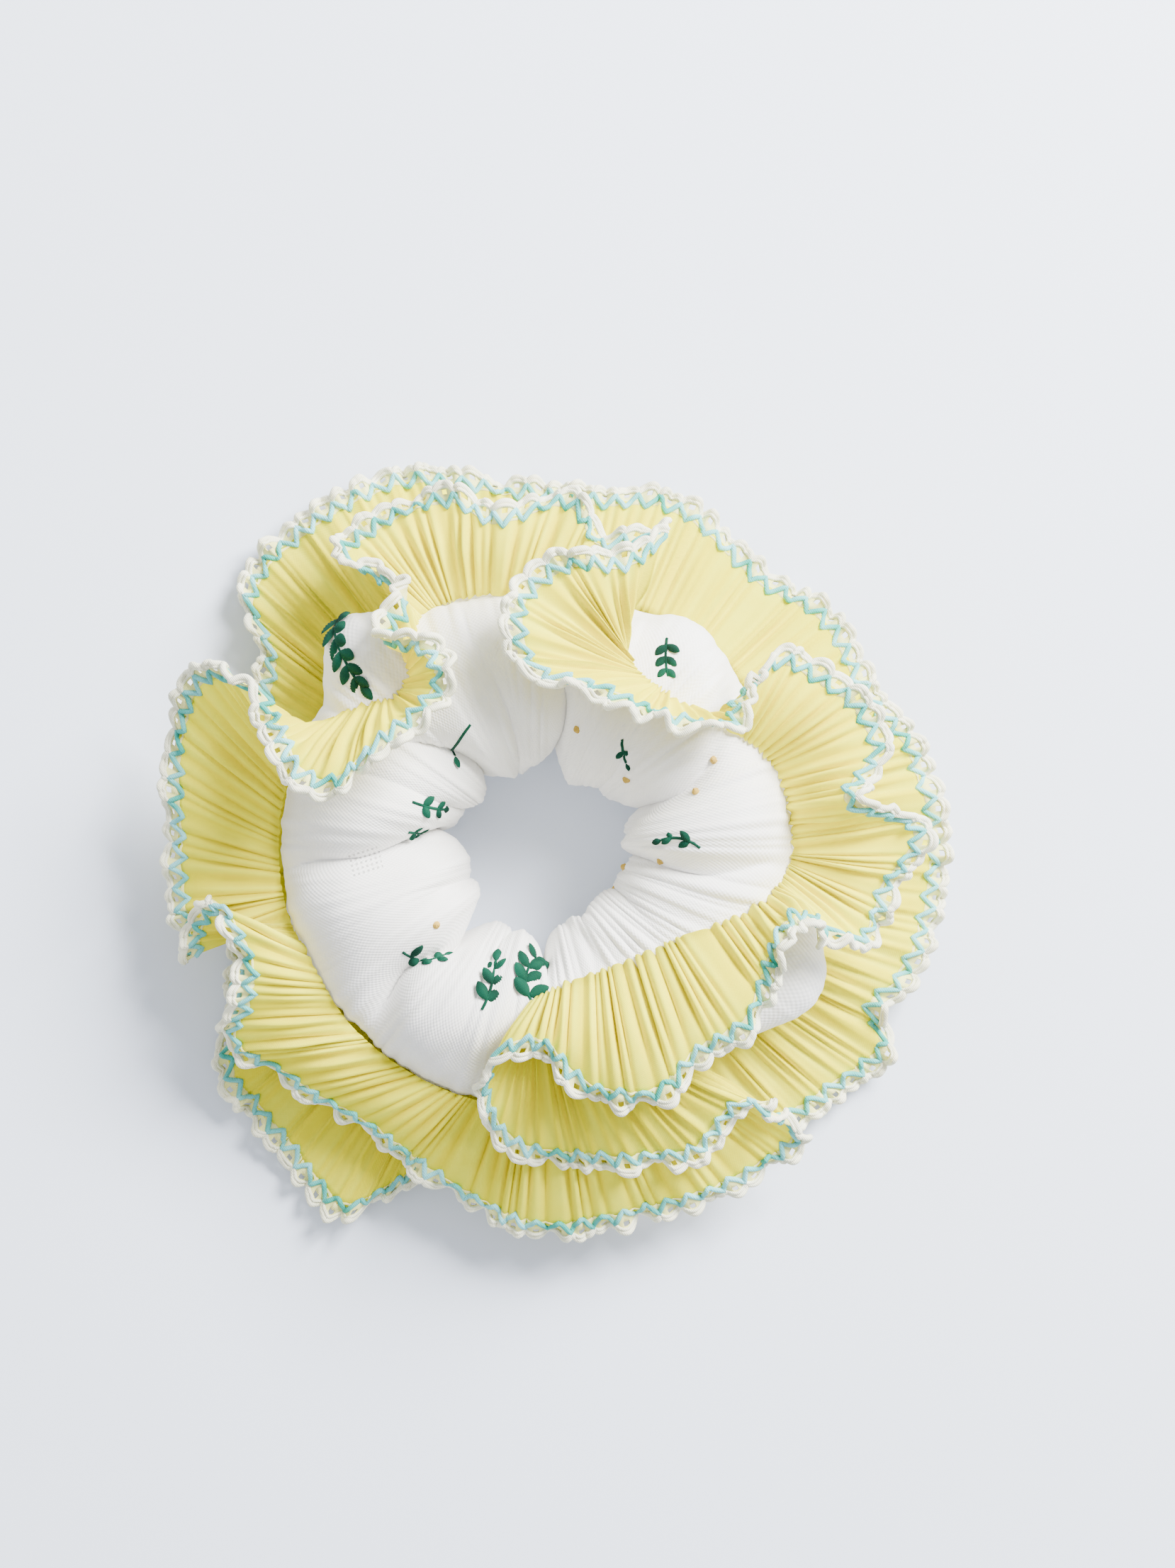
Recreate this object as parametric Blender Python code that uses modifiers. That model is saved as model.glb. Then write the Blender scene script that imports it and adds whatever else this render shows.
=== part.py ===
"""Ruffled hair scrunchie: a gathered cotton tube on an elastic loop, with two tiers of pleated ruffle.

The frame stands on the table: +Z is up and the origin is under the middle of the object. Lengths are metres.
Run it with: blender --background --python part.py
"""

from math import atan2, cos, degrees, hypot, pi, radians, sin, sqrt, tau

import bmesh
import bpy
from mathutils import Vector

MM = 0.001
GAP = 0.3 * MM  # between two pieces that touch

# The cotton tube: its middle line is a circle, its section an ellipse that the table flattens
RING_CENTRE = Vector((-3 * MM, 0.5 * MM, 0))
RING_RADIUS = 33 * MM
TUBE_HALF_WIDTH = 16 * MM
TUBE_HALF_HEIGHT = 16.5 * MM
TUBE_MIDDLE = 15 * MM
CLOTH = 0.8 * MM
TUBE_STEPS = 40
TUBE_POINTS = 16

# The seam that closes the tube, low on its outer side, with the lower ruffle's heading in it
SEAM_SECTION = -20
HEADING = 0.7 * MM
HEADING_DEPTH = 4 * MM
SEAM_STITCHES = 36
THREAD_RADIUS = 0.2 * MM
SEAM_THREAD_OFF = 1 * MM  # between the thread and the turned-in edge

# The ruffles and their edging
EDGING_WIDTH = 4.5 * MM
EDGING_THICKNESS = 0.9 * MM
HEM_THREAD_RADIUS = 0.2 * MM
HEM_GAP = 1.25 * MM  # each side of the hem thread
UPPER_OFF_COVER = 1.2 * MM
LOWER_RISE = 1.5 * MM
UPPER_STEPS = 180
LOWER_STEPS = 72
RUFFLE_ROWS = 4

# Upper tier, clockwise from the right: each rib's foot (degrees round the ring, degrees round the tube's
# section), its tip (x, y, z) and how far its middle rises above the straight line, in millimetres
UPPER_RIBS = [
    (0, 36, 70, 4, 30, 4), (357, 38, 64, -8, 27, 4), (354, 42, 60, -18, 26, 4), (351, 47, 52, -17, 36, 3),
    (348, 54, 44, -12, 45, 0), (343, 66, 41, -19, 43, 2), (336, 84, 39, -28, 38, 5),
    (328, 98, 36, -34, 37, 6), (318, 108, 26, -41, 36, 7), (305, 115, 19, -47, 36, 7),
    (292, 118, 7, -47, 36, 7), (282, 117, 1, -42, 37, 5), (275, 114, -4, -38, 38, 4),
    (269, 110, -12, -39, 36, 3), (266, 104, -15, -45, 32, 2), (266, 96, -11, -56, 25, 2),
    (270, 84, 0, -60, 21, 3), (279, 72, 14, -60, 20, 3), (289, 60, 28, -58, 20, 3),
    (296, 54, 37, -54, 21, 3), (301, 46, 45, -52, 19, 2), (302, 38, 48, -56, 15, 1),
    (299, 30, 43, -61, 12, 2), (291, 24, 30, -68, 11, 3), (280, 22, 12, -73, 10, 3),
    (268, 21, -7, -74, 10, 3), (257, 20, -24, -65, 11, 3), (246, 20, -40, -53, 12, 3),
    (235, 20, -54, -44, 13, 3), (224, 20, -65, -36, 15, 3), (217, 24, -62, -29, 21, 2),
    (210, 28, -61, -20, 24, 2), (203, 27, -66, -9, 24, 2), (199, 20, -71, -14, 18, 2),
    (195, 16, -72, -21, 13, 2), (189, 13, -75, -8, 13, 3), (181, 11, -75, 8, 16, 3),
    (172, 11, -74, 24, 18, 3), (165, 16, -68, 35, 24, 3), (158, 26, -58, 33, 33, 3),
    (150, 40, -53, 22, 39, 4), (144, 52, -48, 12, 42, 5), (140, 60, -41, 10, 44, 6),
    (137, 66, -33, 17, 45, 5), (134, 69, -24, 24, 45, 4), (130, 68, -19, 32, 44, 3),
    (127, 62, -23, 38, 42, 3), (124, 52, -33, 41, 38, 2), (121, 42, -29, 48, 34, 2),
    (119, 33, -34, 53, 29, 2), (117, 24, -43, 57, 24, 2), (113, 19, -34, 65, 20, 3),
    (108, 20, -21, 69, 22, 3), (101, 28, -11, 65, 26, 3), (93, 42, 3, 68, 25, 3), (84, 54, 10, 60, 31, 3),
    (73, 62, 21, 61, 33, 3), (67, 69, 13, 56, 39, 3), (64, 73, -2, 54, 42, 3), (62, 76, -10, 45, 44, 3),
    (60, 78, -8, 35, 46, 3), (57, 78, 6, 29, 47, 3), (50, 77, 20, 23, 46, 2), (41, 72, 33, 22, 43, 2),
    (34, 65, 36, 33, 38, 2), (29, 57, 43, 38, 34, 3), (23, 47, 55, 31, 31, 4), (17, 40, 62, 20, 31, 4),
    (9, 37, 56, 10, 38, 2),
]

# Lower tier, anticlockwise from the lower right: tips only, in millimetres, as its ribs run straight out
LOWER_TIPS = [
    (53, -50, 4), (65, -40, 3), (63, -32, 7), (69, -26, 6), (75, -10, 3), (75, 6, 3), (71, 20, 6),
    (62, 31, 9), (54, 46, 4), (40, 55, 3), (23, 69, 3), (8, 70, 6), (-9, 72, 3), (-31, 74, 3), (-45, 68, 6),
    (-58, 58, 3), (-62, 50, 5), (-58, 40, 7), (-60, 28, 6), (-66, 12, 3), (-66, -4, 4), (-64, -22, 3),
    (-66, -44, 4), (-56, -58, 3), (-43, -72, 3), (-35, -69, 5), (-24, -63, 5), (-8, -68, 3), (10, -66, 3),
    (27, -64, 3), (42, -57, 4),
]

# The elastic loop in the tube, and the zigzag that joins its ends
ELASTIC_RADIUS = 31 * MM
ELASTIC_HEIGHT = 6 * MM
ELASTIC_THICKNESS = 0.9 * MM
ELASTIC_STEPS = 60
ELASTIC_OVERLAP = 0.32  # radians by which the ends pass each other
OVERLAP_RISE = 1.5 * MM
TACK_TURNS = 6
TACK_MARGIN = 0.1  # share of the overlap left free at each end of the zigzag
TACK_REACH = 0.3  # share of the elastic's height that the zigzag covers, each way

# Embroidery on the cotton, in degrees: round the ring, round the tube's section, and turn
SPRIGS = [
    (250, 112, 95), (263, 124, 85), (224, 104, 50), (135, 30, 60), (160, 127, 95),
    (173, 131, 90), (128, 118, 40), (50, 125, 136), (57, 58, 123), (4, 112, 75),
]
SPRIG_LENGTH = 6.5 * MM
SPRIG_STEM = 0.3 * MM
LEAF_REACH = 1.5 * MM
LEAF_PAIRS = 2
STITCH_HEIGHT = 0.4 * MM
STITCHES_OFF_COVER = 0.6 * MM
KNOTS = [(39, 140), (27, 79), (20, 100), (354, 132), (346, 170), (216, 122), (73, 126), (330, 176)]
KNOT_RADIUS = 0.8 * MM
KNOT_FLATNESS = 0.6
KNOT_GAP = 0.36 * MM  # a little more than the gap, as the cotton under it is faceted

# Base colour and roughness of each material
COTTON = ((0.86, 0.86, 0.84), 0.9)
VOILE = ((0.88, 0.8, 0.36), 0.8)
LACE = ((0.9, 0.89, 0.8), 0.85)
AQUA = ((0.36, 0.68, 0.68), 0.6)
GREEN = ((0.02, 0.16, 0.1), 0.55)
OCHRE = ((0.6, 0.42, 0.13), 0.6)
ELASTIC_WHITE = ((0.8, 0.8, 0.78), 0.8)
WHITE_THREAD = ((0.88, 0.88, 0.86), 0.6)


def clear_scene():
    for obj in list(bpy.data.objects):
        bpy.data.objects.remove(obj, do_unlink=True)


def material(name, look):
    colour, roughness = look
    made = bpy.data.materials.new(name)
    made.use_nodes = True
    shader = made.node_tree.nodes["Principled BSDF"]
    shader.inputs["Base Color"].default_value = (*colour, 1)
    shader.inputs["Roughness"].default_value = roughness
    shader.inputs["Metallic"].default_value = 0
    return made


def add(name, data, look):
    """A new object of the scrunchie, in its collection."""
    obj = bpy.data.objects.new(name, data)
    data.materials.append(look)
    bpy.data.collections["scrunchie"].objects.link(obj)
    return obj


def thicken(obj, thickness, offset):
    solid = obj.modifiers.new("thickness", "SOLIDIFY")
    solid.thickness = thickness
    solid.offset = offset


def strip(name, columns, rows, place, closed, look):
    """A sheet laid out by place(u, v), with u and v from 0 to 1. A closed one joins its two ends."""
    cloth = bmesh.new()
    bmesh.ops.create_grid(cloth, x_segments=columns, y_segments=rows, size=0.5)
    for vertex in cloth.verts:
        vertex.co = place(vertex.co.x + 0.5, vertex.co.y + 0.5)
    if closed:
        bmesh.ops.remove_doubles(cloth, verts=cloth.verts, dist=0.01 * MM)
    bmesh.ops.recalc_face_normals(cloth, faces=cloth.faces)
    mesh = bpy.data.meshes.new(name)
    cloth.to_mesh(mesh)
    cloth.free()
    mesh.shade_smooth()
    return add(name, mesh, look)


def thread(name, points, radius, closed, look):
    """A thread as a tube along the points."""
    curve = bpy.data.curves.new(name, "CURVE")
    curve.dimensions = "3D"
    curve.bevel_depth = radius
    curve.bevel_resolution = 0
    curve.use_fill_caps = not closed
    line = curve.splines.new("POLY")
    line.points.add(len(points) - 1)
    for spot, point in zip(line.points, points):
        spot.co = (*point, 1)
    line.use_cyclic_u = closed
    return add(name, curve, look)


def closed_spline(rows):
    """A smooth function of u, from 0 to 1, that runs through the rows and back to the first."""
    rows = [Vector(row) for row in rows]
    count = len(rows)
    steps = [sqrt((rows[(n + 1) % count] - rows[n]).length) for n in range(count)]
    slopes = []
    for n in range(count):
        before, after = steps[n - 1], steps[n]
        incoming = (rows[n] - rows[n - 1]) / before
        outgoing = (rows[(n + 1) % count] - rows[n]) / after
        slopes.append((incoming * after + outgoing * before) / (before + after))

    def at(u):
        left = (u % 1) * sum(steps)
        n = 0
        while left > steps[n] and n < count - 1:
            left -= steps[n]
            n += 1
        t, ahead = left / steps[n], (n + 1) % count
        start = rows[n] * (2 * t**3 - 3 * t**2 + 1) + slopes[n] * steps[n] * (t**3 - 2 * t**2 + t)
        return start + rows[ahead] * (3 * t**2 - 2 * t**3) + slopes[ahead] * steps[n] * (t**3 - t**2)

    return at


def tube_point(around, section, height=0.0):
    """A point over the tube: angles round the ring and round the section (0 is the outer side)."""
    out = Vector((cos(section) / TUBE_HALF_WIDTH, sin(section) / TUBE_HALF_HEIGHT)).normalized()
    radius = RING_RADIUS + TUBE_HALF_WIDTH * cos(section) + height * out.x
    z = TUBE_MIDDLE + TUBE_HALF_HEIGHT * sin(section) + height * out.y
    return RING_CENTRE + Vector((radius * cos(around), radius * sin(around), max(z, 0)))


def ring_angle(point):
    return atan2(point.y - RING_CENTRE.y, point.x - RING_CENTRE.x)


def ribs_from(rows):
    """The tier through rows of foot, tip and rise: a function of u round it and the share from its foot."""
    rib = closed_spline(rows)

    def at(u, share):
        values = rib(u)
        foot, tip = Vector(values[0:3]), Vector(values[3:6])
        point = foot.lerp(tip, share)
        point.z = max(point.z + values[6] * 4 * share * (1 - share), EDGING_THICKNESS)
        return point

    return at


def upper_tier():
    rows = []
    for around, section, x, y, z, rise in UPPER_RIBS:
        foot = tube_point(radians(around), radians(section), UPPER_OFF_COVER)
        rows.append((*foot, x * MM, y * MM, z * MM, rise * MM))
    return ribs_from(rows)


def lower_tier():
    rows = []
    for x, y, z in LOWER_TIPS:
        tip = Vector((x, y, z)) * MM
        rows.append((*tube_point(ring_angle(tip), radians(SEAM_SECTION)), *tip, LOWER_RISE))
    return ribs_from(rows)


def make_cover(look):
    """The cotton tube, open along its seam, where its edges turn in and leave room for the heading."""
    lip = degrees((HEADING / 2 + GAP + CLOTH) / TUBE_HALF_HEIGHT)
    first, last = SEAM_SECTION + lip, SEAM_SECTION + 360 - lip
    points = [radians(first + (last - first) * n / (TUBE_POINTS - 1)) for n in range(TUBE_POINTS)]

    def place(u, v):
        spot = v * (TUBE_POINTS + 1)
        around = tau * u
        if spot < 0.5:
            return tube_point(around, points[0], -HEADING_DEPTH)
        if spot > TUBE_POINTS + 0.5:
            return tube_point(around, points[-1], -HEADING_DEPTH)
        return tube_point(around, points[round(spot) - 1])

    cover = strip("cover", TUBE_STEPS, TUBE_POINTS + 1, place, True, look)
    thicken(cover, CLOTH, -1)


def make_tier(name, tier, steps, heading, voile, lace, aqua):
    """One tier: the voile strip, the thread along its hem and the edging past the thread, end to end."""
    def past(u, share, distance):
        return share + distance / (tier(u, 1) - tier(u, 0)).length

    def cloth(u, v):
        hem = past(u, 1, -EDGING_WIDTH - 2 * (HEM_GAP + HEM_THREAD_RADIUS))
        if not heading:
            return tier(u, hem * v)
        row = round(v * RUFFLE_ROWS)
        if row == 0:
            return tube_point(ring_angle(tier(u, 0)), radians(SEAM_SECTION), -heading)
        return tier(u, hem * (row - 1) / (RUFFLE_ROWS - 1))

    def edging(u, v):
        return tier(u, past(u, 1, -EDGING_WIDTH * (1 - v)))

    thicken(strip(f"{name}_ruffle", steps, RUFFLE_ROWS, cloth, True, voile), HEADING, 0)
    thicken(strip(f"{name}_lace", steps, 1, edging, True, lace), EDGING_THICKNESS, 0)
    hem = -EDGING_WIDTH - HEM_GAP - HEM_THREAD_RADIUS
    points = [tier(n / steps, past(n / steps, 1, hem)) for n in range(steps)]
    thread(f"{name}_hem_thread", points, HEM_THREAD_RADIUS, True, aqua)


def make_seam_threads(look):
    """The lockstitch's two threads, one against each turned-in edge inside the tube."""
    for name, side in (("seam_needle_thread", 1), ("seam_bobbin_thread", -1)):
        points = []
        for n in range(SEAM_STITCHES):
            stitch = THREAD_RADIUS if n % 2 else 0
            off = HEADING / 2 + 2 * CLOTH + SEAM_THREAD_OFF + stitch
            section = radians(SEAM_SECTION) + side * off / TUBE_HALF_HEIGHT
            points.append(tube_point(tau * n / SEAM_STITCHES, section, -HEADING_DEPTH / 2))
        thread(name, points, THREAD_RADIUS, True, look)


def elastic_point(turned, height):
    radius = ELASTIC_RADIUS + OVERLAP_RISE * turned / (tau + ELASTIC_OVERLAP)
    return RING_CENTRE + Vector((radius * cos(turned), radius * sin(turned), TUBE_MIDDLE + height))


def make_elastic(look, tack_look):
    """The elastic: one length of flat braid whose ends overlap, and the zigzag that joins them."""

    def place(u, v):
        return elastic_point((tau + ELASTIC_OVERLAP) * u, ELASTIC_HEIGHT * (v - 0.5))

    thicken(strip("elastic_band", ELASTIC_STEPS, 1, place, False, look), ELASTIC_THICKNESS, 0)
    points = []
    for n in range(2 * TACK_TURNS + 1):
        share = TACK_MARGIN + (1 - 2 * TACK_MARGIN) * n / (2 * TACK_TURNS)
        turned = tau + ELASTIC_OVERLAP * share
        point = elastic_point(turned, ELASTIC_HEIGHT * (TACK_REACH if n % 2 else -TACK_REACH))
        outward = Vector((point.x - RING_CENTRE.x, point.y - RING_CENTRE.y, 0)).normalized()
        points.append(point + (ELASTIC_THICKNESS / 2 + GAP + THREAD_RADIUS) * outward)
    thread("elastic_join_thread", points, THREAD_RADIUS, False, tack_look)


def make_sprigs(look):
    """Leaf sprigs in satin stitch: a stem with pairs of leaves, lying on the cotton."""

    def half_width(u):
        return SPRIG_STEM + LEAF_REACH * abs(sin(LEAF_PAIRS * pi * u))

    for number, (around, section, turn) in enumerate(SPRIGS, 1):

        def place(u, v, around=radians(around), section=radians(section), turn=radians(turn)):
            x, y = SPRIG_LENGTH * (u - 0.5), half_width(u) * (2 * v - 1)
            across, along = x * cos(turn) - y * sin(turn), x * sin(turn) + y * cos(turn)
            ring = RING_RADIUS + TUBE_HALF_WIDTH * cos(section)
            girth = hypot(TUBE_HALF_WIDTH * sin(section), TUBE_HALF_HEIGHT * cos(section))
            return tube_point(around + across / ring, section + along / girth, STITCHES_OFF_COVER)

        sprig = strip(f"leaf_sprig_{number}", 4 * LEAF_PAIRS, 2, place, False, look)
        thicken(sprig, STITCH_HEIGHT, 0)


def make_knots(look):
    """Blossoms: single round knots of thread, seated on the cotton."""
    for number, spot in enumerate(KNOTS, 1):
        around, section = (radians(angle) for angle in spot)
        foot = tube_point(around, section)
        outward = (tube_point(around, section, MM) - foot).normalized()
        ball = bmesh.new()
        bmesh.ops.create_uvsphere(ball, u_segments=8, v_segments=6, radius=KNOT_RADIUS)
        bmesh.ops.scale(ball, vec=(1, 1, KNOT_FLATNESS), verts=ball.verts)
        mesh = bpy.data.meshes.new(f"blossom_knot_{number}")
        ball.to_mesh(mesh)
        ball.free()
        mesh.shade_smooth()
        knot = add(mesh.name, mesh, look)
        knot.location = foot + outward * (KNOT_FLATNESS * KNOT_RADIUS + KNOT_GAP)
        knot.rotation_euler = outward.to_track_quat("Z", "Y").to_euler()


def main():
    clear_scene()
    bpy.context.scene.collection.children.link(bpy.data.collections.new("scrunchie"))
    white_thread = material("white thread", WHITE_THREAD)
    cloths = (material("yellow voile", VOILE), material("cream lace", LACE), material("aqua thread", AQUA))
    make_cover(material("white cotton", COTTON))
    make_tier("upper", upper_tier(), UPPER_STEPS, 0, *cloths)
    make_tier("lower", lower_tier(), LOWER_STEPS, HEADING_DEPTH, *cloths)
    make_seam_threads(white_thread)
    make_elastic(material("white elastic", ELASTIC_WHITE), white_thread)
    make_sprigs(material("green thread", GREEN))
    make_knots(material("ochre thread", OCHRE))


main()
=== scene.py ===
"""Ruffled hair scrunchie: gathered cotton, two pleated ruffles with scalloped lace, embroidered sprigs."""

from functools import cache
from math import atan2, cos, pi, radians, sin, tau

import bpy
import numpy as np
from bpy.props import FloatProperty, FloatVectorProperty, IntProperty, PointerProperty
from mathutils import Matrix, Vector, kdtree, noise


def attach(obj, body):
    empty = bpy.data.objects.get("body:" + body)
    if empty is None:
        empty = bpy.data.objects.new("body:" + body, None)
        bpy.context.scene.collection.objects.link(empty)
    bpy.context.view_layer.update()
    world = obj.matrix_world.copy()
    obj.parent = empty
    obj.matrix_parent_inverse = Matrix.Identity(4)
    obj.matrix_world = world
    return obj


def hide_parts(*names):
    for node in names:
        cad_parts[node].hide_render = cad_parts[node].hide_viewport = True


bl_info = {
    "name": "Ruffled scrunchie",
    "version": (1, 0, 0),
    "blender": (4, 5, 0),
    "location": "View3D > Sidebar > Scrunchie",
    "description": "Makes a ruffled hair scrunchie of gathered cotton and pleated voile",
    "category": "Add Mesh",
}

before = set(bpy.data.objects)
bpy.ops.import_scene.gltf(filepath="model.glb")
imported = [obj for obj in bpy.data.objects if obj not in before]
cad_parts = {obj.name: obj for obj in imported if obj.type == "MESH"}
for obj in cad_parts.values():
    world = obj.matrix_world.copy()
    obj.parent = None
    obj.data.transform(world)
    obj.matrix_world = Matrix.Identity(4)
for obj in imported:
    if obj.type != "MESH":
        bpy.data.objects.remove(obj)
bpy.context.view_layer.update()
MM = 0.001

# The tube that the cotton covers, as in the frame
RING_CENTRE = np.array([-3 * MM, 0.5 * MM, 0])
RING_RADIUS = 33 * MM
TUBE_HALF_WIDTH = 16 * MM
TUBE_HALF_HEIGHT = 16.5 * MM
TUBE_MIDDLE = 15 * MM
SEAM_SECTION = radians(-20)
FOOT_OFF_COVER = 0.9 * MM
LOWER_RISE = 1.5 * MM
HEM_INSET = 3.8 * MM  # from the scallops' tips back to the voile's own edge

# Upper tier, clockwise from the right: each rib's foot (degrees round the ring, degrees round the tube's
# section), its tip (x, y, z) and how far its middle rises above the straight line, in millimetres
UPPER_RIBS = [
    (0, 36, 70, 4, 30, 4), (357, 38, 64, -8, 27, 4), (354, 42, 60, -18, 26, 4), (351, 47, 52, -17, 36, 3),
    (348, 54, 44, -12, 45, 0), (343, 66, 41, -19, 43, 2), (336, 84, 39, -28, 38, 5),
    (328, 98, 36, -34, 37, 6), (318, 108, 26, -41, 36, 7), (305, 115, 19, -47, 36, 7),
    (292, 118, 7, -47, 36, 7), (282, 117, 1, -42, 37, 5), (275, 114, -4, -38, 38, 4),
    (269, 110, -12, -39, 36, 3), (266, 104, -15, -45, 32, 2), (266, 96, -11, -56, 25, 2),
    (270, 84, 0, -60, 21, 3), (279, 72, 14, -60, 20, 3), (289, 60, 28, -58, 20, 3),
    (296, 54, 38, -48, 24, 3), (301, 46, 45, -52, 19, 2), (302, 38, 48, -56, 15, 1),
    (299, 30, 43, -61, 12, 2), (291, 24, 30, -68, 11, 3), (280, 22, 12, -73, 10, 3),
    (268, 21, -7, -74, 10, 3), (257, 20, -24, -65, 11, 3), (246, 20, -40, -53, 12, 3),
    (235, 20, -54, -44, 13, 3), (224, 20, -65, -36, 15, 3), (217, 24, -62, -29, 21, 2),
    (210, 28, -61, -20, 24, 2), (203, 27, -66, -9, 24, 2), (199, 20, -71, -14, 18, 2),
    (195, 16, -72, -21, 13, 2), (189, 13, -75, -8, 13, 3), (181, 11, -75, 8, 16, 3),
    (172, 11, -74, 24, 18, 3), (165, 16, -68, 35, 24, 3), (158, 26, -58, 33, 33, 3),
    (150, 40, -53, 22, 39, 4), (144, 52, -48, 12, 42, 5), (140, 60, -41, 10, 44, 6),
    (137, 66, -33, 17, 45, 5), (134, 69, -24, 24, 45, 4), (130, 68, -19, 32, 44, 3),
    (127, 62, -23, 38, 42, 3), (124, 52, -33, 41, 38, 2), (121, 42, -29, 48, 34, 2),
    (119, 33, -34, 53, 29, 2), (117, 24, -43, 57, 24, 2), (113, 19, -34, 65, 20, 3),
    (108, 20, -21, 69, 22, 3), (101, 28, -11, 65, 26, 3), (93, 42, 3, 68, 25, 3), (84, 54, 10, 60, 31, 3),
    (73, 62, 21, 61, 33, 3), (67, 69, 13, 56, 39, 3), (64, 73, -2, 54, 42, 3), (62, 76, -10, 45, 44, 3),
    (60, 78, -8, 35, 46, 3), (57, 78, 6, 29, 47, 3), (50, 77, 20, 23, 46, 2), (41, 72, 33, 22, 43, 2),
    (34, 65, 36, 33, 38, 2), (29, 57, 43, 38, 34, 3), (23, 47, 55, 31, 31, 4), (17, 40, 62, 20, 31, 4),
    (9, 37, 56, 10, 38, 2),
]

# Lower tier, anticlockwise from the lower right: tips only, in millimetres
LOWER_TIPS = [
    (53, -50, 4), (65, -40, 3), (63, -32, 7), (69, -26, 6), (75, -10, 3), (75, 6, 3), (71, 20, 6),
    (62, 31, 9), (54, 46, 4), (40, 55, 3), (23, 69, 3), (8, 70, 6), (-9, 72, 3), (-31, 74, 3), (-45, 68, 6),
    (-58, 58, 3), (-62, 50, 5), (-58, 40, 7), (-60, 28, 6), (-66, 12, 3), (-66, -4, 4), (-64, -22, 3),
    (-66, -44, 4), (-56, -58, 3), (-43, -72, 3), (-35, -69, 5), (-24, -63, 5), (-8, -68, 3), (10, -66, 3),
    (27, -64, 3), (42, -57, 4),
]

# The cotton's deepest creases: degrees round the ring at the hole and at the outer side, and how deep each
# is, from 0.25 for a slight one to 2.1 for the deepest
CREASES = [
    (19, 36, 1.1), (48, 52, 0.3), (81, 88, 1.2), (106, 106, 0.35), (130, 150, 1.0), (152, 166, 0.4),
    (173, 188, 1.5), (201, 205, 0.3), (227, 223, 2.1), (250, 240, 0.35), (273, 257, 1.9), (300, 298, 0.25),
    (327, 330, 0.3), (352, 356, 0.8),
]

# Where the cotton bulges out between the tiers, or is pressed in: degrees round the ring and the section,
# then the bulge's height, its reach round the ring and its reach round the section, in millimetres
BULGES = [(133, 22, 7.5, 9, 9), (332, 10, 9, 10, 8), (50, 30, 1, 8, 8), (68, 15, -3, 6, 10)]

# Embroidery: degrees round the ring, round the section, turn; then length, pairs of leaves and bend
SPRIGS = [
    (250, 112, 95, 9.6, 3, 0.2), (263, 124, 85, 10.7, 4, -0.9), (224, 104, 50, 9.0, 3, 0.5),
    (135, 30, 60, 12.5, 6, 0.3), (160, 127, 95, 7.0, 2, 0.1), (173, 131, 90, 6.0, 2, 0.0),
    (128, 118, 40, 8.0, 0, 0.4), (50, 125, 136, 5.0, 1, 0.3), (57, 58, 123, 7.0, 3, 0.3),
    (4, 112, 75, 6.5, 2, 0.6),
]

STEM_RADIUS = 0.3 * MM
STEM_OFF_COTTON = 0.15 * MM
LEAF_OFF_COTTON = 0.2 * MM
KNOT_OFF_COTTON = 0.1 * MM

# Single knots: degrees round the ring and round the section
KNOTS = [(39, 140), (27, 79), (20, 100), (354, 132), (346, 170), (216, 122), (73, 126), (330, 176)]

# The patch where threads are drawn out of the cotton
PATCH_MIDDLE = (-35.5 * MM, -2.2 * MM)
PATCH_HALVES = (3 * MM, 2.2 * MM)
PATCH_TURN = radians(-18)
HOLE_PITCH = 0.9 * MM

# The cloths laid flat
COVER_FLAT = (0.1, 0.3)
VOILE_WIDTH = 25 * MM

# The cotton's folds
BROAD_RATE = 2.6  # noise units for a ring of radius 1
GATHER_RATE = 19
CREASE_WIDTH = 0.05  # radians round the ring, for the fold itself
CREASE_SHOULDER = 0.2  # and for the slope down to it
STITCH_REACH = 7 * MM  # how far from a ruffle's heading the cotton stays flat
STITCH_RISE = 0.3 * MM  # how far it stands off the tube there
GATHER_REACH = 9 * MM  # how far the fine gathers run from the heading
SEAM_LIP = 0.085  # radians round the section, from the seam to each edge of the cotton
TURN_IN = 4 * MM  # how far each edge turns in
GATHER_FULLNESS = 1.6  # length of cloth to a length of ring, for the weave
LOWEST = 0.25 * MM  # the cotton's least height over the table

# The ruffles and their lace
FRILL_RATE = 28  # noise units for a ring of radius 1
SCALLOP_ROUNDNESS = 0.55
SCALLOP_POINTS = 16
SLIT_POINTS = (6, 9)  # first and last point of a scallop's slit
SLIT_ROW = 2
GROUND_BACK = 0.4 * MM  # how far the lace's ground reaches in from the hem
GROUND_REACH = 2.2 * MM
GROUND_WAVE = 1.4 * MM
GROUND_THICKNESS = 0.25 * MM
PLEAT_POINTS = 8
VOILE_ROWS = 14

# Light and deep colours of the pieces inside
SEWING_THREAD = ((0.82, 0.82, 0.8), (0.7, 0.7, 0.68))
ELASTIC_BRAID = ((0.78, 0.78, 0.76), (0.62, 0.62, 0.6))

CAMERA_HEIGHT = 0.62
VIEW_WIDTH = 0.2275  # at the table
VIEW_CENTRE = (5.5 * MM, 12.3 * MM)
TABLE_HALF = 2.0
ROOM_COLOUR = (0.93, 0.96, 1.0)
LIGHTS = (  # name, place, width in metres and power in watts
    ("window", (0.6, 0.6, 0.7), 0.5, 64.0), ("fill", (-0.8, -0.2, 0.9), 1.2, 3.0),
)


def size_property(name, description, default):
    return FloatProperty(name=name, description=description, default=default, unit="LENGTH")


def colour_property(name, description, default):
    return FloatVectorProperty(name=name, description=description, default=default, subtype="COLOR")


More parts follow.
